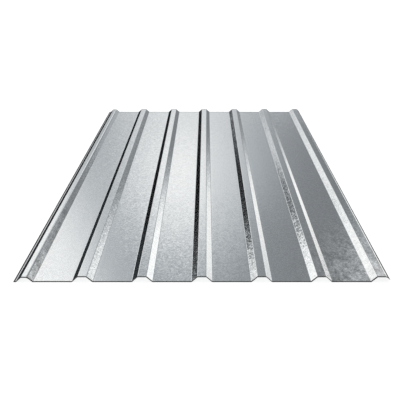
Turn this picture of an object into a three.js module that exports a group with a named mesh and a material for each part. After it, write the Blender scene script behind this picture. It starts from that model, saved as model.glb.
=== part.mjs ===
// A trapezoidal corrugated sheet: galvanised steel strip, roll-formed into seven ribs.
//
// Millimetres, +Z up. X runs across the ribs and Y along them. The origin is under the middle
// of the sheet, on the plane that its valleys lie on. The first rib, at -X, is the underlap:
// it is a little lower, and a narrow lip carries its outer foot. The last rib, at +X, is the
// overlap: it is full height, and its outer leg stops short, so it closes over the first rib
// of the next sheet.

import * as THREE from 'three';

// The sheet
const SHEET_LENGTH = 2000;
const SHEET_THICKNESS = 0.7;
const PROFILE_DEPTH = 18; // from the underside of the valleys to the top of the crowns

// The ribs. Widths run between the corners that the bends round off. They and the bends'
// radii are measured at mid-thickness.
const RIB_COUNT = 7;
const RIB_PITCH = 183.3;
const CROWN_WIDTH = 26.5;
const FLANK_ANGLE = THREE.MathUtils.degToRad(43);
const BEND_RADIUS = 3;
const BEND_STEPS = 6; // facets in each bend

// The side laps
const UNDERLAP_DROP = 2; // how much lower the first crown is than the others
const DRAIN_WIDTH = 12.7; // from an overlap's inner foot to the underlap foot beneath it
const LIP_WIDTH = 8.7; // the flat that carries the underlap's outer foot
const LAP_CLEARANCE = 0.3; // between an overlap's leg and the flank it closes on
const OVERLAP_LEG_DEPTH = 10; // how far the overlap's leg comes down from its crown
const LAP_BEND_RADIUS = 14; // the wider bend where one crown turns down over the other

const GALVANISED_STEEL = new THREE.MeshStandardMaterial({
  color: 0xb4b8ba,
  roughness: 0.34,
  metalness: 1,
});

// The rise of a crown above the valleys, and the width that a flank of that rise takes up.
const RISE = PROFILE_DEPTH - SHEET_THICKNESS;
const flankRun = (rise) => rise / Math.tan(FLANK_ANGLE);
const HALF_FOOT = CROWN_WIDTH / 2 + flankRun(RISE);

const ribCentre = (index) => (index - (RIB_COUNT - 1) / 2) * RIB_PITCH;

// Each rib is a row of corners from left to right, at mid-thickness, with heights above the
// valleys. A corner is where two straights would meet, and its radius is that of its bend.

const corner = (x, height, radius = BEND_RADIUS) => ({ at: new THREE.Vector2(x, height), radius });

function standardRib(centre) {
  return [
    corner(centre - HALF_FOOT, 0),
    corner(centre - CROWN_WIDTH / 2, RISE),
    corner(centre + CROWN_WIDTH / 2, RISE),
    corner(centre + HALF_FOOT, 0),
  ];
}

function underlapRib(centre) {
  const rise = RISE - UNDERLAP_DROP;
  const outerFoot = centre - HALF_FOOT + DRAIN_WIDTH;
  const innerFoot = centre + HALF_FOOT;
  return [
    corner(outerFoot - LIP_WIDTH, 0),
    corner(outerFoot, 0),
    corner(outerFoot + flankRun(rise), rise),
    corner(innerFoot - flankRun(rise), rise, LAP_BEND_RADIUS),
    corner(innerFoot, 0),
  ];
}

function overlapRib(centre) {
  // The leg stands off its standard place by one sheet and the clearance, square to the flank.
  const standOff = (SHEET_THICKNESS + LAP_CLEARANCE) / Math.sin(FLANK_ANGLE);
  const shoulder = centre + CROWN_WIDTH / 2 + standOff;
  return [
    corner(centre - HALF_FOOT, 0),
    corner(centre - CROWN_WIDTH / 2, RISE),
    corner(shoulder, RISE, LAP_BEND_RADIUS),
    corner(shoulder + flankRun(OVERLAP_LEG_DEPTH), RISE - OVERLAP_LEG_DEPTH),
  ];
}

function profileCorners() {
  const corners = underlapRib(ribCentre(0));
  for (let index = 1; index < RIB_COUNT - 1; index += 1) {
    corners.push(...standardRib(ribCentre(index)));
  }
  corners.push(...overlapRib(ribCentre(RIB_COUNT - 1)));
  return corners;
}

// A station is a point of the mid-line with the direction square to it, towards the top face.
function station(point, heading) {
  return { point, normal: new THREE.Vector2(-Math.sin(heading), Math.cos(heading)) };
}

const headingBetween = (from, to) => to.at.clone().sub(from.at).angle();

// The stations round one bend: an arc that is tangent to the straights before and after it.
function bend(before, here, after) {
  const headingIn = headingBetween(before, here);
  const turnRaw = headingBetween(here, after) - headingIn;
  const turn = Math.atan2(Math.sin(turnRaw), Math.cos(turnRaw)); // positive where it turns up
  const radius = Math.sign(turn) * here.radius;
  const tangentLength = here.radius * Math.tan(Math.abs(turn) / 2);
  const backwards = before.at.clone().sub(here.at).setLength(tangentLength);
  const start = station(here.at.clone().add(backwards), headingIn);
  const centre = start.point.clone().addScaledVector(start.normal, radius);

  const stations = [];
  for (let step = 0; step <= BEND_STEPS; step += 1) {
    const arrival = station(centre, headingIn + (turn * step) / BEND_STEPS);
    const point = centre.clone().addScaledVector(arrival.normal, -radius);
    stations.push({ point, normal: arrival.normal });
  }
  return stations;
}

// The whole mid-line, from the lip's edge to the edge of the overlap's leg.
function midLine() {
  const corners = profileCorners();
  const last = corners.length - 1;
  const stations = [station(corners[0].at, headingBetween(corners[0], corners[1]))];
  for (let index = 1; index < last; index += 1) {
    stations.push(...bend(corners[index - 1], corners[index], corners[index + 1]));
  }
  stations.push(station(corners[last].at, headingBetween(corners[last - 1], corners[last])));
  return stations;
}

// The cross-section: the mid-line with half the sheet's thickness to each side of it.
function crossSection() {
  const stations = midLine();
  const offsetBy = (distance) => stations.map(
    ({ point, normal }) => point.clone().addScaledVector(normal, distance),
  );
  const underside = offsetBy(-SHEET_THICKNESS / 2);
  const topSide = offsetBy(SHEET_THICKNESS / 2);
  return new THREE.Shape([...underside, ...topSide.reverse()]);
}

function corrugatedSheet() {
  const geometry = new THREE.ExtrudeGeometry(crossSection(), {
    depth: SHEET_LENGTH,
    bevelEnabled: false,
  });
  geometry.computeBoundingBox();
  const middle = geometry.boundingBox.getCenter(new THREE.Vector3());
  const sheet = new THREE.Mesh(geometry, GALVANISED_STEEL);
  sheet.name = 'corrugated_sheet';
  sheet.rotation.x = Math.PI / 2; // stands the section up, so that the extrusion runs along -Y
  sheet.position.set(-middle.x, SHEET_LENGTH / 2, SHEET_THICKNESS / 2);
  return sheet;
}

const model = new THREE.Group();
model.add(corrugatedSheet());

export default model;
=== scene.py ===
# %% [markdown]
# # A trapezoidal corrugated sheet in bare galvanised steel
# The real thing is one strip of zinc-coated steel, rolled cold into seven shallow ribs. Nothing
# is added to it: no screws, no paint, no backing. So the whole look comes from four things: the
# crispness of its bends, the way the zinc mirrors a studio, the fine crystals of the coating,
# and the dulling that shears and a damp stack leave on it, with painted shade in the dark bands
# along its edges and in one crease. Each has its own cells below.
# Lengths are in metres, and the axes are the imported part's: +Y along the ribs, +X across them
# from the underlap side to the overlap side, and +Z up.

# %% Load the imported sheet as the fixed frame
import math
from collections import namedtuple

import bpy
from mathutils import Matrix, Vector
from mathutils.kdtree import KDTree


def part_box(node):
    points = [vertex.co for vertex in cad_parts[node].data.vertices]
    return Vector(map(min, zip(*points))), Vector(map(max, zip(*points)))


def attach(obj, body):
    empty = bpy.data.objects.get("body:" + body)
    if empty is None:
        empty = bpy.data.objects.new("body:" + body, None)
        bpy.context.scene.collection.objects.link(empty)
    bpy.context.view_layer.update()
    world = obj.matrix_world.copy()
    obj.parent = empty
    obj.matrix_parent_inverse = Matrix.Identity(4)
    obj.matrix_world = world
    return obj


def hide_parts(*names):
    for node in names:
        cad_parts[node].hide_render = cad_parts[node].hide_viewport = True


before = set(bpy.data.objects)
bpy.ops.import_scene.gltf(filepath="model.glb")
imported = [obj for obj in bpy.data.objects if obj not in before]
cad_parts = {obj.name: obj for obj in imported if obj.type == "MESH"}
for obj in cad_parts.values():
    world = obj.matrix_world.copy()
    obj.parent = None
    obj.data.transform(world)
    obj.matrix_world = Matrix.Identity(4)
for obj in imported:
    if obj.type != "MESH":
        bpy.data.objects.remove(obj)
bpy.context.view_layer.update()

MM = 1000  # millimetres in a metre, for what the cells print
CAD_NODE = "corrugated_sheet"
low_corner, high_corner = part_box(CAD_NODE)
SHEET_LENGTH = high_corner.y - low_corner.y
PROFILE_DEPTH = high_corner.z - low_corner.z
print(f"the sheet is {SHEET_LENGTH:.3f} m long and {PROFILE_DEPTH * MM:.1f} mm deep")

# %% [markdown]
# ## The camera
# A sheet that lies flat is looked down on from one end, so that the ribs run away to one
# vanishing point. The lens is a short telephoto, a little longer than a normal one. A camera
# can be aimed by a constraint at an empty, but the place and the pitch say it more plainly
# here, because the camera looks straight along the ribs. A small sideways shift of the lens
# moves the picture without turning the view, so the ribs' vanishing point moves with it.

# %% Place the camera
CAMERA_PLACE = (0.0146, -2.5933, 0.9583)
CAMERA_PITCH = math.radians(23.25)  # below the horizon
LENS_MM = 54.2
SENSOR_MM = 36
SIDE_SHIFT = -0.0159  # in frame widths, since the ribs vanish a little to the right

bpy.ops.object.select_all(action="DESELECT")
bpy.ops.object.camera_add(
    location=CAMERA_PLACE, rotation=(math.radians(90) - CAMERA_PITCH, 0, 0)
)
camera = bpy.context.object
camera.data.lens = LENS_MM
camera.data.sensor_width = SENSOR_MM
camera.data.shift_x = SIDE_SHIFT
bpy.context.scene.camera = camera
print("camera at", [round(value, 3) for value in camera.location])

# %% [markdown]
# ## Helpers for node trees
# A shader is a chain of small steps, and each step is a node. Written out node by node, such a
# chain is long and hard to follow. So one helper adds a node and wires its inputs, by their
# name or their number, and a few short ones build on it. Each material below then reads as a
# list of what it does.


# %% Add and wire nodes
def add_node(tree, kind, settings=None, inputs=None):
    """A new node with these settings, and its inputs wired to sockets or set to values."""
    node = tree.nodes.new(kind)
    for name, value in (settings or {}).items():
        setattr(node, name, value)
    for name, value in (inputs or {}).items():
        if isinstance(value, bpy.types.NodeSocket):
            tree.links.new(value, node.inputs[name])
        else:
            node.inputs[name].default_value = value
    return node


def maths(tree, operation, *values):
    inputs = dict(enumerate(values))
    return add_node(tree, "ShaderNodeMath", {"operation": operation}, inputs).outputs[0]


def remap(tree, value, from_low, from_high, to_low, to_high, smooth=False):
    """value carried from one range to another and held inside it."""
    settings = {"interpolation_type": "SMOOTHSTEP" if smooth else "LINEAR", "clamp": True}
    inputs = dict(enumerate((value, from_low, from_high, to_low, to_high)))
    return add_node(tree, "ShaderNodeMapRange", settings, inputs).outputs[0]


def axis_parts(tree, vector):
    """A vector's X, Y and Z, by those names."""
    return add_node(tree, "ShaderNodeSeparateXYZ", inputs={0: vector}).outputs


print("helpers: add_node, maths, remap, axis_parts")

# %% [markdown]
# ## Node groups
# An effect that is used more than once, or that has a few sizes of its own, is best kept as a
# node group: a small tree with named inputs and outputs, which is built once and then placed
# like any node. Copying the nodes would work too, but every change would have to be made in
# each copy.

# %% Make and place node groups
FLOAT = "NodeSocketFloat"
VECTOR = "NodeSocketVector"


def new_group(name, inputs, outputs):
    """An empty node group from {socket name: kind}, with the sockets of its two ends."""
    group = bpy.data.node_groups.new(name, "ShaderNodeTree")
    for direction, sockets in (("INPUT", inputs), ("OUTPUT", outputs)):
        for socket_name, kind in sockets.items():
            group.interface.new_socket(socket_name, in_out=direction, socket_type=kind)
    entry = group.nodes.new("NodeGroupInput").outputs
    leave = group.nodes.new("NodeGroupOutput").inputs
    return group, entry, leave


def place_group(tree, group, inputs):
    return add_node(tree, "ShaderNodeGroup", {"node_tree": group}, inputs).outputs


def report_group(group):
    print(f"group {group.name}: {len(group.nodes)} nodes")


print("helpers: new_group, place_group, report_group")

# %% [markdown]
# ## One soft light of the studio
# Zinc is a mirror that has been breathed on, so it shows its surroundings and little else. Area
# lamps could light it, but a near lamp's reflection shifts from valley to valley, and no lamp
# is dark. So the surroundings are painted in the world shader instead, infinitely far away, as
# soft ellipses of light and shade. Each has a place among the directions that a reflection can
# take: an azimuth from +Y towards +X, and an elevation, both in degrees. The group below is
# the mask of one such ellipse.

# %% The soft ellipse, as a node group
HALF_TURN = 180
SHAPE_INPUTS = ("Centre azimuth", "Centre elevation", "Half width", "Half height", "Softness")

soft_light, entry, leave = new_group(
    "soft_light",
    {name: FLOAT for name in ("Azimuth", "Elevation", *SHAPE_INPUTS)},
    {"Mask": FLOAT},
)
offset_round = maths(soft_light, "SUBTRACT", entry["Azimuth"], entry["Centre azimuth"])
offset_round = maths(soft_light, "WRAP", offset_round, HALF_TURN, -HALF_TURN)
offset_up = maths(soft_light, "SUBTRACT", entry["Elevation"], entry["Centre elevation"])
across = maths(soft_light, "DIVIDE", offset_round, entry["Half width"])
upward = maths(soft_light, "DIVIDE", offset_up, entry["Half height"])
across_squared = maths(soft_light, "POWER", across, 2)
upward_squared = maths(soft_light, "POWER", upward, 2)
reach = maths(soft_light, "SQRT", maths(soft_light, "ADD", across_squared, upward_squared))
inner_edge = maths(soft_light, "SUBTRACT", 1, entry["Softness"])
outer_edge = maths(soft_light, "ADD", 1, entry["Softness"])
mask = remap(soft_light, reach, inner_edge, outer_edge, 1, 0, smooth=True)
soft_light.links.new(mask, leave["Mask"])
report_group(soft_light)

# %% [markdown]
# ## Planning the lights and flags
# A flat mirrors what hangs ahead of the camera. A flank mirrors what stands to the side that it
# faces, near the horizon, so the two sides of a rib show two different parts of the studio. A
# photographer uses that: a window and strips ahead for the sheen of the valleys, a dark gap on
# the left for the flanks that face left, and bright banks on the right for the flanks that face
# right. Lights add to an even grey, and flags then take a share of it away.

# %% The lights
# name: (azimuth, elevation, half width, half height, softness, strength)
LIGHTS = {
    # ahead
    "window_ahead": (-2.6, 21.3, 5.2, 6.3, 1.0, 0.75),
    "window_side": (1.8, 20.5, 2.7, 8, 0.9, 0.065),
    "pan_glow": (6.5, 19.5, 2.6, 4.2, 0.9, 0.08),
    "low_strip_ahead": (2, 10.5, 18, 4, 0.06, 0.28),
    "low_glow_ahead": (9.5, -31.5, 26, 25, 0.3, 0.35),
    # at the left
    "left_bank": (-47, 58, 37, 90, 0.11, 0.73),
    "left_high_strip": (-28.5, 12, 4.5, 4.5, 0.8, 0.25),
    # at the right
    "right_top_bank": (30.5, 28.5, 13, 10, 0.4, 0.8),
    "right_low_bank": (64, -4, 44.5, 30, 0.07, 0.84),
    "right_strip": (28.5, 8.5, 6, 4.2, 0.7, 0.25),
    # overhead and behind, mostly for whoever looks from another side
    "ceiling": (0, 90, 400, 42, 0.35, 0.3),
    "right_wall": (100, 30, 28, 26, 0.4, 0.45),
    "rear_window": (180, 26, 34, 20, 0.4, 0.55),
    "left_rear_strip": (-125, 28, 12, 24, 0.4, 0.5),
}
GREY_LEFT = 0.45
GREY_RIGHT = 0.26
GREY_TURN = (-5, 16)  # the azimuths between which the left grey gives way to the right
print(f"{len(LIGHTS)} soft lights, on greys of {GREY_LEFT} and {GREY_RIGHT}")

# %% The flags, which are given in the same way
FLAGS = {
    # ahead
    "window_bar": (1.6, 23.5, 1.1, 4.5, 0.4, 0.1),
    "low_pan_bar": (10, 15.3, 1.7, 2.2, 0.8, 0.16),
    # at the left
    "left_gap": (-23.5, 3, 5, 9, 0.38, 0.97),
    "left_floor_flag": (-21.5, -10.5, 20.5, 15.9, 0.1, 0.975),
    "far_left_flag": (-62, 15, 26, 50, 0.35, 0.45),
    # at the right
    "right_floor_flag": (25.5, -18.5, 21.5, 8.5, 0.06, 0.81),
    "right_bank_bar": (31.5, -4, 4, 3.5, 0.8, 0.2),
    "right_shoulder_bar": (24, 23.5, 4.5, 4.5, 0.5, 0.55),
    "far_right_flag": (90, 0, 34, 44, 0.4, 0.55),
}
print(f"{len(FLAGS)} flags")

# %% [markdown]
# ## Hanging them in the world shader
# In a world shader, the Generated coordinate is the direction of the ray that asks for light.
# An arctangent gives its azimuth and an arcsine its elevation. Then every light is one mask,
# multiplied by its strength and added to the level, and each flag multiplies the level by what
# it lets through. An image of a studio would do the same, but its lamps couldn't be moved.

# %% Find each ray's direction, then add the lights and take the flags away
world = bpy.data.worlds.new("studio")
bpy.context.scene.world = world
world.use_nodes = True
sky = world.node_tree
sky.nodes.clear()
ray = add_node(sky, "ShaderNodeTexCoord").outputs["Generated"]
ray_parts = axis_parts(sky, ray)
azimuth = maths(sky, "DEGREES", maths(sky, "ARCTAN2", ray_parts["X"], ray_parts["Y"]))
elevation = maths(sky, "DEGREES", maths(sky, "ARCSINE", ray_parts["Z"]))
level = remap(sky, azimuth, *GREY_TURN, GREY_LEFT, GREY_RIGHT, smooth=True)


def mask_of(shape):
    inputs = dict(zip(SHAPE_INPUTS, shape)) | {"Azimuth": azimuth, "Elevation": elevation}
    return place_group(sky, soft_light, inputs)["Mask"]


for *shape, strength in LIGHTS.values():
    level = maths(sky, "MULTIPLY_ADD", mask_of(shape), strength, level)
for *shape, strength in FLAGS.values():
    let_through = maths(sky, "MULTIPLY_ADD", mask_of(shape), -strength, 1)
    level = maths(sky, "MULTIPLY", level, let_through)
print(f"the world shader has {len(sky.nodes)} nodes so far")

# %% [markdown]
# ## The tints of the studio
# A studio is never one colour of grey. Deep shade leans to cyan, and the lamps lean a little to
# warm, which makes up for the zinc's own blue. A colour could be set for each light, but one
# rule by brightness does for all of them: the darker the level, the cooler the tint.

# %% Tint the level by its own brightness
DEEP_TINT = (0.84, 0.98, 1.1, 1)  # of the flags' shade
DIM_TINT = (0.95, 0.99, 1.03, 1)  # of the grey between
LAMP_TINT = (1.015, 1.0, 0.985, 1)  # of the lamps
DEEP_TO_DIM = (0.03, 0.2)  # the levels between which one tint gives way to the next
DIM_TO_LAMP = (0.5, 1.1)
FIRST_COLOUR = 6  # the Mix node has a set of sockets for each kind of value, and these
SECOND_COLOUR = 7  # are the ones for colours
MIXED_COLOUR = 2


def mix_colours(tree, share, first, second):
    inputs = {"Factor": share, FIRST_COLOUR: first, SECOND_COLOUR: second}
    mix = add_node(tree, "ShaderNodeMix", {"data_type": "RGBA"}, inputs)
    return mix.outputs[MIXED_COLOUR]


shade = mix_colours(sky, remap(sky, level, *DEEP_TO_DIM, 0, 1), DEEP_TINT, DIM_TINT)
tint = mix_colours(sky, remap(sky, level, *DIM_TO_LAMP, 0, 1), shade, LAMP_TINT)
background = add_node(sky, "ShaderNodeBackground", inputs={"Color": tint, "Strength": level})
add_node(sky, "ShaderNodeOutputWorld", inputs={"Surface": background.outputs[0]})
print(f"the world shader has {len(sky.nodes)} nodes")

# %% [markdown]
# ## What the floor and the backdrop are made of
# The sheet lies on a wide white floor, and a white dome closes the view above it. Their white
# is a glow that the camera alone sees, so it adds no light to the sheet, and the floor's matt
# part still takes the sheet's soft contact shadow. It is usual to let mirrors see such a glow
# as well. Here it would wash out the flanks, whose dark and bright bands are what the real
# sheet looks like, so the lower half of the studio stands in for the floor in the zinc.

# %% A matt white that glows for the camera
FLOOR_COLOUR = (0.45, 0.45, 0.45, 1)
FLOOR_GLOW = 0.8  # with the light on the matt part, this comes to a white of about 1
DOME_COLOUR = (0, 0, 0, 1)
DOME_GLOW = 1


def stage_material(name, colour, glow):
    material = bpy.data.materials.new(name)
    material.use_nodes = True
    tree = material.node_tree
    tree.nodes.clear()
    matt = add_node(tree, "ShaderNodeBsdfDiffuse", inputs={"Color": colour}).outputs[0]
    to_camera = add_node(tree, "ShaderNodeLightPath").outputs["Is Camera Ray"]
    strength = maths(tree, "MULTIPLY", to_camera, glow)
    light = add_node(tree, "ShaderNodeEmission", inputs={"Strength": strength}).outputs[0]
    both = add_node(tree, "ShaderNodeAddShader", inputs={0: matt, 1: light}).outputs[0]
    add_node(tree, "ShaderNodeOutputMaterial", inputs={"Surface": both})
    return material


floor_white = stage_material("floor_white", FLOOR_COLOUR, FLOOR_GLOW)
dome_white = stage_material("dome_white", DOME_COLOUR, DOME_GLOW)
print("stage materials:", floor_white.name, dome_white.name)

# %% [markdown]
# ## The floor and the dome
# A plane and a sphere do for these, because nothing of their shape shows. A curved backdrop
# would do too, but only for a camera at the front, and a sheet is looked at from all sides.
# The dome is hidden from every ray but the camera's, since it would otherwise shut out the
# studio's light. The floor is only kept out of the reflections.

# %% Make the floor
FLOOR_GAP = 0.0003  # keeps the floor's face clear of the valleys' undersides
FLOOR_SIZE = 110

bpy.ops.object.select_all(action="DESELECT")
bpy.ops.mesh.primitive_plane_add(size=FLOOR_SIZE, location=(0, 0, -FLOOR_GAP))
floor = bpy.context.object
floor.name = "studio_floor"
floor.data.materials.append(floor_white)
floor.visible_glossy = False
print(f"{floor.name}: {FLOOR_SIZE} m across")

# %% Make the dome
DOME_RADIUS = 54
DOME_SEGMENTS = 48
DOME_RINGS = 24

bpy.ops.object.select_all(action="DESELECT")
bpy.ops.mesh.primitive_uv_sphere_add(
    segments=DOME_SEGMENTS, ring_count=DOME_RINGS, radius=DOME_RADIUS
)
dome = bpy.context.object
dome.name = "studio_dome"
dome.data.materials.append(dome_white)
dome.visible_diffuse = False
dome.visible_glossy = False
dome.visible_transmission = False
dome.visible_shadow = False
print(f"{dome.name}: {DOME_RADIUS} m in radius")

# %% [markdown]
# ## The section, corner by corner
# A roll former's drawing gives the section as corners, where two flats would meet, and a radius
# for the bend that rounds off each one. The same few sizes make all seven ribs. The first and
# the last differ, because sheets lap there: the underlap is a little lower and keeps a narrow
# lip, and the overlap's outer leg stops short, so it closes over the next sheet's underlap.

# %% Sizes of the section, at mid-thickness
SHEET_THICKNESS = 0.0007
RIB_COUNT = 7
RIB_PITCH = 0.1833
CROWN_WIDTH = 0.0265
FLANK_ANGLE = math.radians(43)
BEND_RADIUS = 0.003
UNDERLAP_DROP = 0.002  # how much lower the first crown is than the others
DRAIN_WIDTH = 0.0127  # from an overlap's inner foot to the underlap foot beneath it
LIP_WIDTH = 0.0087  # the flat that carries the underlap's outer foot
LAP_CLEARANCE = 0.0003  # between an overlap's leg and the flank it closes on
OVERLAP_LEG_DEPTH = 0.010  # how far the overlap's leg comes down from its crown
LAP_BEND_RADIUS = 0.014  # the wider bend where one crown turns down over the other
RISE = PROFILE_DEPTH - SHEET_THICKNESS


def flank_run(rise):
    """The width that a flank of this rise takes up."""
    return rise / math.tan(FLANK_ANGLE)


HALF_FOOT = CROWN_WIDTH / 2 + flank_run(RISE)
print(f"a rib is {2 * HALF_FOOT * MM:.1f} mm wide at its foot and {RISE * MM:.1f} mm high")


# %% The corners of a standard rib
def corner(x, height, radius=BEND_RADIUS):
    """Where two flats would meet, with the radius of the bend that rounds it off."""
    return {"at": Vector((x, height)), "radius": radius}


def standard_rib(centre):
    return [
        corner(centre - HALF_FOOT, 0),
        corner(centre - CROWN_WIDTH / 2, RISE),
        corner(centre + CROWN_WIDTH / 2, RISE),
        corner(centre + HALF_FOOT, 0),
    ]


print(f"a standard rib has {len(standard_rib(0))} corners")


# %% The corners of the two ribs that lap
def underlap_rib(centre):
    rise = RISE - UNDERLAP_DROP
    outer_foot = centre - HALF_FOOT + DRAIN_WIDTH
    inner_foot = centre + HALF_FOOT
    return [
        corner(outer_foot - LIP_WIDTH, 0),
        corner(outer_foot, 0),
        corner(outer_foot + flank_run(rise), rise),
        corner(inner_foot - flank_run(rise), rise, LAP_BEND_RADIUS),
        corner(inner_foot, 0),
    ]


def overlap_rib(centre):
    stand_off = (SHEET_THICKNESS + LAP_CLEARANCE) / math.sin(FLANK_ANGLE)
    shoulder = centre + CROWN_WIDTH / 2 + stand_off
    return [
        corner(centre - HALF_FOOT, 0),
        corner(centre - CROWN_WIDTH / 2, RISE),
        corner(shoulder, RISE, LAP_BEND_RADIUS),
        corner(shoulder + flank_run(OVERLAP_LEG_DEPTH), RISE - OVERLAP_LEG_DEPTH),
    ]


print(f"the underlap has {len(underlap_rib(0))} corners and the overlap {len(overlap_rib(0))}")

# %% All the ribs in a row
first_centre = low_corner.x + LIP_WIDTH - DRAIN_WIDTH + HALF_FOOT
rib_centres = [first_centre + index * RIB_PITCH for index in range(RIB_COUNT)]
corners = underlap_rib(rib_centres[0])
for centre in rib_centres[1:-1]:
    corners += standard_rib(centre)
corners += overlap_rib(rib_centres[-1])
print(f"the section has {len(corners)} corners")


# %% How much of each flat its bends take up
def heading(start, end):
    return math.atan2(end["at"].y - start["at"].y, end["at"].x - start["at"].x)


def tangent_length(before, here, after):
    """How far from its corner a bend begins and ends."""
    turn = heading(here, after) - heading(before, here)
    return here["radius"] * math.tan(abs(turn) / 2)


corners_in_threes = zip(corners, corners[1:], corners[2:])
tangents = [0.0, *(tangent_length(*three) for three in corners_in_threes), 0.0]
lip_flat = (corners[1]["at"] - corners[0]["at"]).length - tangents[1]
print(f"the lip is flat for {lip_flat * MM:.2f} mm before its bend begins")

# %% [markdown]
# ## The lip, where the walk sets out
# Roll stands fold the strip a little at a time, and every fold is the same tight arc between
# two flats. So the sheet is modelled by a walk along its section: an edge that is as long as
# the sheet is extruded across each flat and spun round each bend. A bevelled box or a lofted
# outline would look the same, but the walk keeps the true arcs and tells how far along the
# strip each point lies, which the zinc's pattern needs later. It starts from the lip, a grid
# one face wide, made square at the sheet's length and then squeezed to the lip's width.

# %% Add the lip, a flat strip as long as the sheet
LENGTH_STEPS = 80
MID_HEIGHT = low_corner.z + SHEET_THICKNESS / 2  # of the valleys

bpy.ops.object.select_all(action="DESELECT")
bpy.ops.mesh.primitive_grid_add(
    x_subdivisions=1,
    y_subdivisions=LENGTH_STEPS,
    size=SHEET_LENGTH,
    location=(corners[0]["at"].x + lip_flat / 2, 0, MID_HEIGHT),
)
sheet = bpy.context.object
sheet.name = "profiled_sheet"
bpy.ops.object.mode_set(mode="EDIT")
bpy.ops.transform.resize(value=(lip_flat / SHEET_LENGTH, 1, 1), center_override=sheet.location)
bpy.ops.object.mode_set(mode="OBJECT")
bpy.ops.object.transform_apply(location=True, rotation=False, scale=False)
print(f"{sheet.name}: a lip of {len(sheet.data.polygons)} faces")

# %% Select the lip's inner edge
inner_edge_x = max(vertex.co.x for vertex in sheet.data.vertices)
for vertex in sheet.data.vertices:
    vertex.select = vertex.co.x > inner_edge_x - lip_flat / 2
for edge in sheet.data.edges:
    edge.select = all(sheet.data.vertices[index].select for index in edge.vertices)
for face in sheet.data.polygons:
    face.select = False
print(f"{sum(edge.select for edge in sheet.data.edges)} edges are ready to be extruded")

# %% [markdown]
# ## The steps of the walk
# An extrusion by a translation makes a flat, and a spin about an axis beside the edge makes a
# bend, so the arc is a true one. Each step leaves a station behind: a point of the section and
# what the strip is like there. The flat of a valley takes more steps than a crown or a flank,
# because it is the only one that won't stay flat.

# %% Walk straight, across a flat
PAN_STEPS = 10  # across the flat of a valley
FLAT_STEPS = 2  # across a crown or a flank

# A station is a point of the section and its distance along the strip from the lip's edge. Its
# slack is 0 where the strip is stiff and 1 in the middle of a valley. Its lean goes from near 1
# at a valley's left side, through 0 in the middle, to near -1 at the right.
Station = namedtuple("Station", "point distance slack lean")


def go_straight(length, direction, steps, is_pan):
    step = Vector((math.cos(direction), math.sin(direction))) * (length / steps)
    for count in range(1, steps + 1):
        bpy.ops.mesh.extrude_region_move(TRANSFORM_OT_translate={"value": (step.x, 0, step.y)})
        last = stations[-1]
        share = count / steps
        slack = math.sin(math.pi * share) ** 2 if is_pan else 0.0
        lean = 1 - 2 * share if is_pan and count < steps else 0.0
        stations.append(Station(last.point + step, last.distance + length / steps, slack, lean))


print(f"a valley takes {PAN_STEPS} steps, and any other flat {FLAT_STEPS}")

# %% Walk round a bend
BEND_STEPS = 8


def go_round(turn, radius, direction):
    start = stations[-1]
    towards = Vector((-math.sin(direction), math.cos(direction))) * math.copysign(1, turn)
    centre = start.point + towards * radius
    bpy.ops.mesh.spin(
        steps=BEND_STEPS,
        angle=turn,
        center=(centre.x, 0, centre.y + MID_HEIGHT),
        axis=(0, 1, 0),
    )
    for count in range(1, BEND_STEPS + 1):
        part = turn * count / BEND_STEPS
        point = centre + Matrix.Rotation(part, 2) @ (start.point - centre)
        stations.append(Station(point, start.distance + radius * abs(part), 0.0, 0.0))


print(f"a bend takes {BEND_STEPS} steps")

# %% Walk from the lip to the edge of the overlap's leg
lip_edge = corners[0]["at"]
stations = [
    Station(lip_edge.copy(), 0.0, 0.0, 0.0),
    Station(lip_edge + Vector((lip_flat, 0)), lip_flat, 0.0, 0.0),
]
bpy.ops.object.mode_set(mode="EDIT")
bpy.ops.mesh.select_mode(type="EDGE")
for index in range(1, len(corners) - 1):
    before, here, after = corners[index - 1 : index + 2]
    direction_in, direction_out = heading(before, here), heading(here, after)
    go_round(direction_out - direction_in, here["radius"], direction_in)
    flat = (after["at"] - here["at"]).length - tangents[index] - tangents[index + 1]
    is_pan = here["at"].y == after["at"].y == 0
    go_straight(flat, direction_out, PAN_STEPS if is_pan else FLAT_STEPS, is_pan)
bpy.ops.object.mode_set(mode="OBJECT")

STRIP_WIDTH = stations[-1].distance
print(f"{len(stations)} stations, and a strip {STRIP_WIDTH * MM:.1f} mm wide before forming")

# %% [markdown]
# ## Laying the pattern out on the flat strip
# The zinc froze on the strip while it was still flat, so its pattern runs round the bends
# unbroken. Object coordinates would cut straight through the ribs and stretch the crystals on
# the flanks. A UV map that is the flat strip itself, in metres, is what the real strip had: U
# is the distance along the section, and V the distance along the sheet.

# %% Match every vertex to its station, and write the strip's map
station_finder = KDTree(len(stations))
for number, station in enumerate(stations):
    station_finder.insert((station.point.x, 0, station.point.y + MID_HEIGHT), number)
station_finder.balance()


def station_of(vertex):
    _, number, _ = station_finder.find((vertex.co.x, 0, vertex.co.z))
    return stations[number]


vertex_stations = [station_of(vertex) for vertex in sheet.data.vertices]
strip_map = sheet.data.uv_layers[0] if sheet.data.uv_layers else sheet.data.uv_layers.new()
strip_map.name = "flat_strip"
for loop in sheet.data.loops:
    along_sheet = sheet.data.vertices[loop.vertex_index].co.y - low_corner.y
    strip_map.data[loop.index].uv = (vertex_stations[loop.vertex_index].distance, along_sheet)
print(f"{strip_map.name}: {len(strip_map.data)} corners of faces laid out")

# %% [markdown]
# ## Slack valleys
# The wide valleys of a rolled sheet, its pans, are never dead flat. The ribs are stiff, and the
# pans between them hold waves a fraction of a millimetre high, which bend a reflection much
# more than they bend the outline. Proportional editing could pull them up by hand. A Displace
# modifier with a cloud texture does all six at once, and a vertex group that fades to nothing
# at the bends keeps the ribs still.

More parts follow.
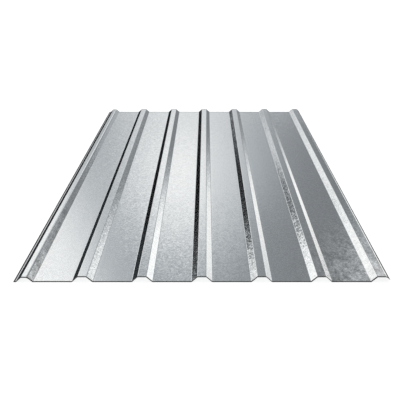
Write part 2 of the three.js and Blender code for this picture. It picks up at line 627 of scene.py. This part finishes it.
# %% Lift the pans in long low waves
PAN_WAVE_HEIGHT = 0.00025
PAN_WAVE_LENGTH = 0.3
slack_group = sheet.vertex_groups.new(name="slack_pans")
for number, station in enumerate(vertex_stations):
    if station.slack > 0:
        slack_group.add([number], station.slack, "REPLACE")
waves = bpy.data.textures.new("pan_waves", "CLOUDS")
waves.noise_scale = PAN_WAVE_LENGTH
lift = sheet.modifiers.new("lift", "DISPLACE")
lift.texture = waves
lift.vertex_group = slack_group.name
lift.direction = "Z"
lift.strength = PAN_WAVE_HEIGHT
lift.mid_level = 0
bpy.ops.object.modifier_apply(modifier=lift.name)
wave_top = max(
    vertex.co.z - MID_HEIGHT
    for vertex, station in zip(sheet.data.vertices, vertex_stations)
    if station.slack > 0
)
print(f"the highest wave stands {wave_top * MM:.2f} mm above the flat")

# %% [markdown]
# ## The hollow of a valley
# Between its ribs, a pan also sags by a little under half a millimetre. Modelled, that would
# take the valleys below the plane that the sheet rests on. So it is left to the material: an
# attribute says how far a point is to the left or right of its valley's middle, and the zinc
# leans its normal by that much, which turns the reflection as a real hollow would.

# %% Write how a valley leans, for the zinc to read
pan_lean = sheet.data.attributes.new("pan_lean", "FLOAT", "POINT")
for number, station in enumerate(vertex_stations):
    pan_lean.data[number].value = station.lean
print(f"{pan_lean.name}: {len(pan_lean.data)} values")

# %% [markdown]
# ## The patterns in the zinc
# Hot-dip zinc freezes into flat crystals, the spangle, each tipped by up to a degree, over
# broader clouds where the coating cooled unevenly. A Voronoi pattern gives each crystal a
# colour of its own, once a finer noise has made the crystals' edges ragged. Plain noise would
# do for the clouds alone, but it has no crystals in it. Another noise is the surface's fine
# grain. All of them lie on the flat strip.

# %% Vectors, and noise on the flat strip
MID_GREY = (0.5, 0.5, 0.5)


def vector_maths(tree, operation, *values):
    inputs = dict(enumerate(values))
    node = add_node(tree, "ShaderNodeVectorMath", {"operation": operation}, inputs)
    return node.outputs["Value" if operation == "LENGTH" else "Vector"]


def scaled(tree, vector, factor):
    inputs = {0: vector, "Scale": factor}
    node = add_node(tree, "ShaderNodeVectorMath", {"operation": "SCALE"}, inputs)
    return node.outputs["Vector"]


def flat_noise(tree, place, size, detail, roughness=0.5):
    """A noise pattern on the strip, in clouds about as wide as size."""
    scale = maths(tree, "DIVIDE", 1, size)
    inputs = {"Vector": place, "Scale": scale, "Detail": detail, "Roughness": roughness}
    return add_node(tree, "ShaderNodeTexNoise", {"noise_dimensions": "2D"}, inputs).outputs


print("helpers: vector_maths, scaled, flat_noise")

# %% Start the spangle's node group, with its clouds and its grain
GRAIN_LEVELS = (0.25, 0.75)  # of the noise, spread out over the whole range

spangle, entry, leave = new_group(
    "zinc_spangle",
    {
        "Strip": VECTOR,
        "Crystal size": FLOAT,
        "Crystal tilt": FLOAT,
        "Cloud size": FLOAT,
        "Cloud tilt": FLOAT,
        "Grain size": FLOAT,
        "Pan lean": FLOAT,
        "Pan hollow": FLOAT,
    },
    {"Normal": VECTOR, "Crystal": FLOAT, "Cloud": FLOAT, "Grain": FLOAT},
)
cloud = flat_noise(spangle, entry["Strip"], entry["Cloud size"], detail=3, roughness=0.6)
grain = flat_noise(spangle, entry["Strip"], entry["Grain size"], detail=1)
spangle.links.new(cloud["Fac"], leave["Cloud"])
spangle.links.new(remap(spangle, grain["Fac"], *GRAIN_LEVELS, 0, 1), leave["Grain"])
report_group(spangle)

# %% Add the crystals
RAGGED_SIZE = 1 / 300  # of the noise that wears the crystals' edges ragged
RAGGED_REACH = (0.006, 0.006, 0)  # and the range over which it shifts them

ragged = flat_noise(spangle, entry["Strip"], RAGGED_SIZE, detail=2)
ragged_shift = vector_maths(spangle, "SUBTRACT", ragged["Color"], MID_GREY)
ragged_shift = vector_maths(spangle, "MULTIPLY", ragged_shift, RAGGED_REACH)
ragged_place = vector_maths(spangle, "ADD", entry["Strip"], ragged_shift)
crystal_scale = maths(spangle, "DIVIDE", 1, entry["Crystal size"])
crystals = add_node(
    spangle, "ShaderNodeTexVoronoi", {"voronoi_dimensions": "2D"},
    {"Vector": ragged_place, "Scale": crystal_scale},
).outputs["Color"]
spangle.links.new(axis_parts(spangle, crystals)["X"], leave["Crystal"])
report_group(spangle)

# %% [markdown]
# ## Tipping the crystals
# A Bump node could raise the crystals, but a crystal is flat inside, and only its angle differs
# from its neighbour's. So each one's colour, less a middle grey, is taken as a small tilt and
# added to the surface's normal. The clouds tilt it in the same way, more gently, and so does
# the hollow of a valley.


# %% Tilt the spangle's normal
def tilt_from(colour, amount):
    return scaled(spangle, vector_maths(spangle, "SUBTRACT", colour, MID_GREY), amount)


crystal_tilt = tilt_from(crystals, entry["Crystal tilt"])
cloud_tilt = tilt_from(cloud["Color"], entry["Cloud tilt"])
tilts = vector_maths(spangle, "ADD", crystal_tilt, cloud_tilt)
true_normal = add_node(spangle, "ShaderNodeNewGeometry").outputs["Normal"]
facing_up = axis_parts(spangle, true_normal)["Z"]  # negative below, where the lean turns round
hollow = maths(spangle, "MULTIPLY", entry["Pan lean"], entry["Pan hollow"])
hollow = maths(spangle, "MULTIPLY", hollow, facing_up)
hollow_tilt = add_node(spangle, "ShaderNodeCombineXYZ", inputs={"X": hollow}).outputs[0]
tilts = vector_maths(spangle, "ADD", tilts, hollow_tilt)
tipped = vector_maths(spangle, "NORMALIZE", vector_maths(spangle, "ADD", true_normal, tilts))
spangle.links.new(tipped, leave["Normal"])
report_group(spangle)

# %% [markdown]
# ## The dark edges: dull zinc and painted shade
# Where a shear has cut the sheet, the zinc beside the cut is bruised and soon goes dark. The
# bands along the lip, the leg and the two ends are wider and darker than that alone would be:
# they are painted shade for the rim's shadow and for the shadow under the lip and the leg. The
# band in the crease at the foot of the first rib's outer flank is painted shade alone, and it
# widens that flank's dark band. A mesh could have a strip of faces there with a material of its
# own, but the border would be a hard line. A mask by the distance on the flat strip fades out
# softly, and its widths can be set one by one. The crease has a place on the strip as well,
# since it lies along no edge.

# %% Start the bands' node group, and the mask of one band
BAND_FADE = (0.7, 1.3)  # from where to where a band fades out, in shares of its width

edge_and_shade_band, entry, leave = new_group(
    "cut_edge_and_shade_band",
    {
        "Strip": VECTOR,
        "End width": FLOAT,
        "Lip width": FLOAT,
        "Leg width": FLOAT,
        "Crease place": FLOAT,
        "Crease half width": FLOAT,
    },
    {"Mask": FLOAT},
)


def band_mask(distance, width):
    share = maths(edge_and_shade_band, "DIVIDE", distance, width)
    return remap(edge_and_shade_band, share, *BAND_FADE, 1, 0, smooth=True)


report_group(edge_and_shade_band)

# %% Put the bands along the lip, the leg, the two ends and the crease
strip_parts = axis_parts(edge_and_shade_band, entry["Strip"])
from_leg = maths(edge_and_shade_band, "SUBTRACT", STRIP_WIDTH, strip_parts["X"])
from_far_end = maths(edge_and_shade_band, "SUBTRACT", SHEET_LENGTH, strip_parts["Y"])
from_an_end = maths(edge_and_shade_band, "MINIMUM", strip_parts["Y"], from_far_end)
from_crease = maths(edge_and_shade_band, "SUBTRACT", strip_parts["X"], entry["Crease place"])
from_crease = maths(edge_and_shade_band, "ABSOLUTE", from_crease)
# painted shade: these bands darken the lip, the leg, the ends and the crease, over a little
# dulling by the shear
dull_and_shade = band_mask(strip_parts["X"], entry["Lip width"])
for distance, width_name in (
    (from_leg, "Leg width"),
    (from_an_end, "End width"),
    (from_crease, "Crease half width"),
):
    dull_and_shade = maths(edge_and_shade_band, "MAXIMUM", dull_and_shade, band_mask(distance, entry[width_name]))
edge_and_shade_band.links.new(dull_and_shade, leave["Mask"])
report_group(edge_and_shade_band)

# %% [markdown]
# ## The bloom of damp storage
# Zinc that has lain damp in a stack grows a dull bloom, in patches with a soft border, broken
# up into paler and darker blotches. Painting it on a texture would need an image. An ellipse
# on the flat strip gives the patch, and a noise drawn out along the sheet gives the blotches,
# because the water ran along the valleys. Its share on the flanks and its share on the flats
# are two inputs, since a flank drains and a flat holds the water.

# %% Start the bloom's node group, with its patch
PATCH_FADE = (0.3, 1)  # from where to where a patch fades out, in shares of its reach
FLANK_TO_FLAT = (0.8, 0.97)  # up to how level a face is a flank, and from where a flat

bloom, entry, leave = new_group(
    "storage_bloom",
    {
        "Strip": VECTOR,
        "Centre": VECTOR,
        "Reach": VECTOR,
        "Cloud size": FLOAT,
        "On flanks": FLOAT,
        "On flats": FLOAT,
    },
    {"Nearness": FLOAT, "Shade": FLOAT},
)
from_centre = vector_maths(bloom, "SUBTRACT", entry["Strip"], entry["Centre"])
from_centre = vector_maths(bloom, "DIVIDE", from_centre, entry["Reach"])
farness = vector_maths(bloom, "LENGTH", from_centre)
nearness = remap(bloom, farness, *PATCH_FADE, 1, 0, smooth=True)
face_normal = add_node(bloom, "ShaderNodeNewGeometry").outputs["Normal"]
levelness = maths(bloom, "ABSOLUTE", axis_parts(bloom, face_normal)["Z"])
held = remap(bloom, levelness, *FLANK_TO_FLAT, entry["On flanks"], entry["On flats"])
nearness = maths(bloom, "MULTIPLY", nearness, held)
bloom.links.new(nearness, leave["Nearness"])
report_group(bloom)

# %% Break the patch up into blotches
BLOTCH_DRAWN_OUT = 2.2  # how much longer a blotch is than it is wide
BLOTCH_LEVELS = (0.38, 0.62)  # of the noise, from the palest blotches to the darkest
BLOTCH_SHADES = (0.34, -0.27)  # what those two add to the zinc's brightness

drawn_out = vector_maths(bloom, "MULTIPLY", entry["Strip"], (1, 1 / BLOTCH_DRAWN_OUT, 1))
blotches = flat_noise(bloom, drawn_out, entry["Cloud size"], detail=5, roughness=0.8)["Fac"]
blotch_shade = remap(bloom, blotches, *BLOTCH_LEVELS, *BLOTCH_SHADES)
bloom.links.new(maths(bloom, "MULTIPLY_ADD", nearness, blotch_shade, 1), leave["Shade"])
report_group(bloom)

# %% [markdown]
# ## Galvanised steel
# The finish is semi-bright: it mirrors the studio softly, and its colour is mottled, because
# the crystals reflect unevenly. A plain metal with one grey would look like polished steel.
# So the patterns of the spangle are mixed into a mottle that runs from a dark zinc to a light
# one and makes the surface a little rougher or smoother as well, and the tipped normal does
# the glitter.

# %% Place the spangle in the zinc
ZINC_LIGHT = (0.9, 0.932, 0.945, 1)
ZINC_DARK = (0.495, 0.518, 0.533, 1)
MOTTLE_SHARES = {"Crystal": 0.4, "Grain": 0.5, "Cloud": 0.1}

zinc = bpy.data.materials.new("galvanised_steel")
zinc.use_nodes = True
tree = zinc.node_tree
shader = tree.nodes["Principled BSDF"]
strip = add_node(tree, "ShaderNodeUVMap", {"uv_map": strip_map.name}).outputs["UV"]
lean = add_node(tree, "ShaderNodeAttribute", {"attribute_name": pan_lean.name}).outputs["Fac"]
pattern = place_group(tree, spangle, {
    "Strip": strip,
    "Crystal size": 0.0045,
    "Crystal tilt": 0.036,
    "Cloud size": 0.03,
    "Cloud tilt": 0.008,
    "Grain size": 0.003,
    "Pan lean": lean,
    "Pan hollow": 0.0145,
})
tree.links.new(pattern["Normal"], shader.inputs["Normal"])

mottle = 0
for name, share in MOTTLE_SHARES.items():
    mottle = maths(tree, "MULTIPLY_ADD", pattern[name], share, mottle)
body_colour = mix_colours(tree, mottle, ZINC_DARK, ZINC_LIGHT)
print(f"{zinc.name}: {len(tree.nodes)} nodes so far")

# %% [markdown]
# ## Where the bloom lies
# Damp gets into a stack at its corners and along its sides. Here it stood in the last valley
# and on the last crown, near the front right corner, and hardly marked the steep flanks there.
# It also ran along the first rib's inner flank. So the group is placed twice, each time with a
# centre and a reach on the flat strip and its own shares for flanks and flats.

# %% Lay the two patches of bloom over the zinc
BLOOM_TINT = (1.01, 0.98, 0.955)
BLOTCH_SIZE = 0.03
# name: (centre on the strip, reach on the strip, share on flanks, share on flats)
BLOOM_PATCHES = {
    "last_valley": ((STRIP_WIDTH - 0.105, 0, 0), (0.22, 0.45, 1), 0.2, 1),
    "first_rib": ((0.061, 0.1, 0), (0.031, 0.8, 1), 1, 0.15),
}
for centre, reach, on_flanks, on_flats in BLOOM_PATCHES.values():
    bloomed = place_group(tree, bloom, {
        "Strip": strip,
        "Centre": centre,
        "Reach": reach,
        "Cloud size": BLOTCH_SIZE,
        "On flanks": on_flanks,
        "On flats": on_flats,
    })
    warmed = vector_maths(tree, "MULTIPLY", body_colour, BLOOM_TINT)
    body_colour = mix_colours(tree, bloomed["Nearness"], body_colour, warmed)
    body_colour = scaled(tree, body_colour, bloomed["Shade"])
print(f"{zinc.name}: {len(BLOOM_PATCHES)} patches of bloom")

# %% [markdown]
# ## Wiring the zinc
# The dark bands, dull zinc with painted shade, go over everything else. Under them the zinc
# stops being a mirror, so its metallic value drops to nothing there and its roughness rises. A
# second material on the edge's faces would need faces for it, and a mask doesn't.

# %% Dull the edges and paint their shade, and wire the zinc's colour, roughness and metal
# near black, for the dull cut and for the painted shade of the edge bands
EDGE_OXIDE_AND_SHADE = (0.03, 0.03, 0.032, 1)
ZINC_ROUGHNESS = (0.115, 0.13)
MOTTLE_LEVELS = (0.2, 0.8)  # the range of the mottle over which the roughness changes
DULL_ROUGHNESS = 0.6  # what the dull bands add to it

# painted shade: these widths let the dark bands stand in for the rim's shadow and the shadow
# under the lip and the leg, and the crease band is painted shade alone
dull_and_shade = place_group(tree, edge_and_shade_band, {
    "Strip": strip,
    "End width": 0.0055,
    "Lip width": 0.0052,
    "Leg width": 0.0103,
    "Crease place": 0.0091,
    "Crease half width": 0.0018,
})["Mask"]
colour = mix_colours(tree, dull_and_shade, body_colour, EDGE_OXIDE_AND_SHADE)
rough = remap(tree, mottle, *MOTTLE_LEVELS, *ZINC_ROUGHNESS)
rough = maths(tree, "MULTIPLY_ADD", dull_and_shade, DULL_ROUGHNESS, rough)
tree.links.new(colour, shader.inputs["Base Color"])
tree.links.new(rough, shader.inputs["Roughness"])
tree.links.new(maths(tree, "SUBTRACT", 1, dull_and_shade), shader.inputs["Metallic"])
print(f"{zinc.name}: {len(tree.nodes)} nodes")

# %% [markdown]
# ## The cut itself
# A shear leaves bare steel across the thickness, and it soon goes dull and dark. The zinc's
# material could be left to run over it, but then the rim would glint like a mirror. At less
# than a millimetre it shows as a thin dark line, so a rough finish in the near-black of the
# dark bands is enough. That near-black is darker than bare steel, so the rim also carries
# painted shade.

# %% Dull steel, for the cut
CUT_ROUGHNESS = 0.7
cut_steel = bpy.data.materials.new("sheared_edge")
cut_steel.use_nodes = True
shader = cut_steel.node_tree.nodes["Principled BSDF"]
shader.inputs["Base Color"].default_value = EDGE_OXIDE_AND_SHADE
shader.inputs["Metallic"].default_value = 0
shader.inputs["Roughness"].default_value = CUT_ROUGHNESS

sheet.data.materials.clear()
for material in (zinc, cut_steel):
    sheet.data.materials.append(material)
print("finishes:", [material.name for material in sheet.data.materials])

# %% [markdown]
# ## Thickness and cut edges
# So far the sheet is a single skin. Extruding it would work, but at a bend the thickness would
# come out uneven. Solidify grows the skin by half a thickness to each side, kept even round
# the bends, and gives the cut rim the second material. A hair of a bevel then rounds the
# shear's burr, so that the edge catches light as a real one does.

# %% Thicken the strip and ease its edges
EDGE_EASE = 0.00012
EASED_ABOVE = math.radians(60)  # sharper than any bend's facets, so only the cut is eased
RIM_SLOT = 1  # the cut steel

bpy.ops.object.select_all(action="DESELECT")
sheet.select_set(True)
bpy.context.view_layer.objects.active = sheet
thicken = sheet.modifiers.new("thicken", "SOLIDIFY")
thicken.thickness = SHEET_THICKNESS
thicken.offset = 0
thicken.use_even_offset = True
thicken.material_offset_rim = RIM_SLOT
ease = sheet.modifiers.new("ease", "BEVEL")
ease.width = EDGE_EASE
ease.segments = 1
ease.limit_method = "ANGLE"
ease.angle_limit = EASED_ABOVE
for modifier in (thicken.name, ease.name):
    bpy.ops.object.modifier_apply(modifier=modifier)
print(f"{sheet.name}: {len(sheet.data.polygons)} faces")

# %% [markdown]
# ## Round bends and flat flats
# The bends are arcs of small facets, and smooth shading rounds them. Smooth shading alone would
# also bow the flats, because a corner's normal is an average of the faces round it. Weighting
# that average by the faces' areas keeps each flat's own normal up to where its bend begins.

# %% Shade the bends smooth and keep the flats flat
SMOOTH_BELOW = math.radians(35)
AREA_WEIGHT = 50  # the neutral value, at which a face counts by its plain area

bpy.ops.object.shade_smooth_by_angle(angle=SMOOTH_BELOW)
flatten = sheet.modifiers.new("keep_flats_flat", "WEIGHTED_NORMAL")
flatten.mode = "FACE_AREA"
flatten.weight = AREA_WEIGHT
flatten.keep_sharp = True
bpy.ops.object.modifier_apply(modifier=flatten.name)
sheet.visible_glossy = False  # so that the ribs mirror the studio and not one another
print(f"{sheet.name}: shaded, with {len(sheet.data.vertices)} vertices")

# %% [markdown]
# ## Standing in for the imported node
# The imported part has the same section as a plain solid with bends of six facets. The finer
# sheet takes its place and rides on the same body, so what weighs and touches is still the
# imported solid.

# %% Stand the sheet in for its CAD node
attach(sheet, "root")
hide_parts(CAD_NODE)
print(f"{sheet.name} stands in for {CAD_NODE}")

# %% [markdown]
# The Standard view shows a colour as it is written, so white stays white. A filmic view would
# grey the floor and flatten the glints.

# %% Set the view
bpy.context.scene.view_settings.view_transform = "Standard"
